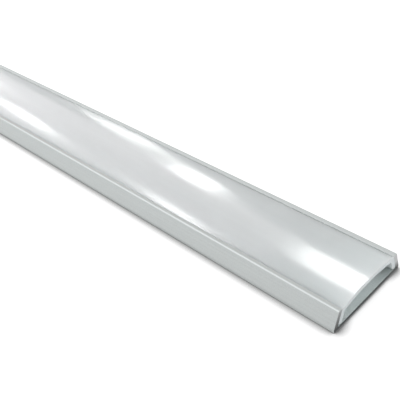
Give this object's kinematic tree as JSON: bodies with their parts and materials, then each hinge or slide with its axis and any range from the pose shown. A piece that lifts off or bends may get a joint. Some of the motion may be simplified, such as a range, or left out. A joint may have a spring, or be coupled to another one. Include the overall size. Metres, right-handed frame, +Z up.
{
  "type": "led strip aluminium profile",
  "caption": "Slim surface-mounted aluminium channel with inward-leaning walls and a sliding arched opal cover, for housing an adhesive led strip.",
  "frame": {"origin": "middle of the underside", "axes": "+X along the profile, +Y across it, +Z up out of the open side"},
  "size_m": [0.5, 0.025, 0.0062],
  "materials": {
    "anodised_aluminium": "satin natural anodised, drawn along its length",
    "opal_plastic": "glossy milky white, slightly see-through"
  },
  "bodies": {
    "channel": {"channel": "anodised_aluminium"},
    "cover": {"diffuser_cover": "opal_plastic"}
  },
  "joints": [
    {"name": "cover_slide", "type": "slide", "parent": "channel", "child": "cover", "axis": [1, 0, 0], "range_m": [-0.48, 0.48]}
  ]
}
